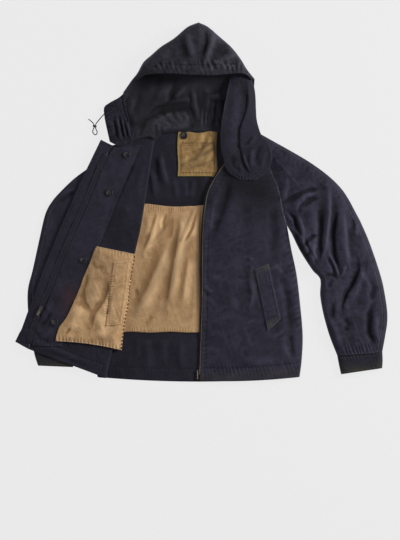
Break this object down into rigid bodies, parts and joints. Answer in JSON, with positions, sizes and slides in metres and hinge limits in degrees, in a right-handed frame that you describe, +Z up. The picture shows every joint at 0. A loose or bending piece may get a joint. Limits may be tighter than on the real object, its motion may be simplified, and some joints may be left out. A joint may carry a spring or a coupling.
{
  "type": "anorak",
  "caption": "Hooded raglan-sleeve cotton anorak laid flat on its back, with its right front folded open over the sleeve to show the khaki liner panel, inner pocket, bare label and zip.",
  "frame": {"origin": "under the middle of the whole laid-out garment, on the surface that it lies on", "axes": "+Z up from the surface, +Y from the hem towards the hood, +X towards the wearer's left sleeve"},
  "size_m": [1.0417, 1.004, 0.052],
  "materials": {
    "navy_cloth": "faded heavy cotton twill",
    "khaki_cloth": "soft brushed cotton twill",
    "label_cloth": "woven patch with a satin sheen",
    "zip_tape": "woven tape",
    "zip_metal": "aged",
    "button": "semi-gloss",
    "cord": "braided cotton"
  },
  "bodies": {
    "garment": {"back": "navy_cloth", "back_khaki_panel": "khaki_cloth", "left_front": "navy_cloth", "left_pocket_welt": "navy_cloth", "left_sleeve_front": "navy_cloth", "left_sleeve_back": "navy_cloth", "right_sleeve_front": "navy_cloth", "right_sleeve_back": "navy_cloth", "left_cuff": "navy_cloth", "right_cuff": "navy_cloth", "right_front": "navy_cloth", "right_fly_flap": "navy_cloth", "right_front_facing": "navy_cloth", "right_khaki_pocket": "khaki_cloth", "right_khaki_welt": "khaki_cloth", "hood_left": "navy_cloth", "hood_right": "navy_cloth", "left_throat_flap": "navy_cloth", "right_throat_flap": "navy_cloth", "left_zip_tape": "zip_tape", "right_zip_tape": "zip_tape", "left_zip_pin": "zip_metal", "zip_slider": "zip_metal", "neck_label": "label_cloth", "liner_button_1": "button", "liner_button_2": "button", "liner_button_3": "button", "liner_button_4": "button", "nape_button": "button", "drawcord": "cord", "drawcord_knot": "cord"},
    "pull_tab": {"zip_pull": "zip_metal"}
  },
  "joints": [
    {"name": "pull_tab_swing", "type": "hinge", "parent": "garment", "child": "pull_tab", "pos_m": [-0.44835, -0.295, 0.02057], "axis": [-0.9063, 0.4226, 0], "range_deg": [0, 150]}
  ]
}
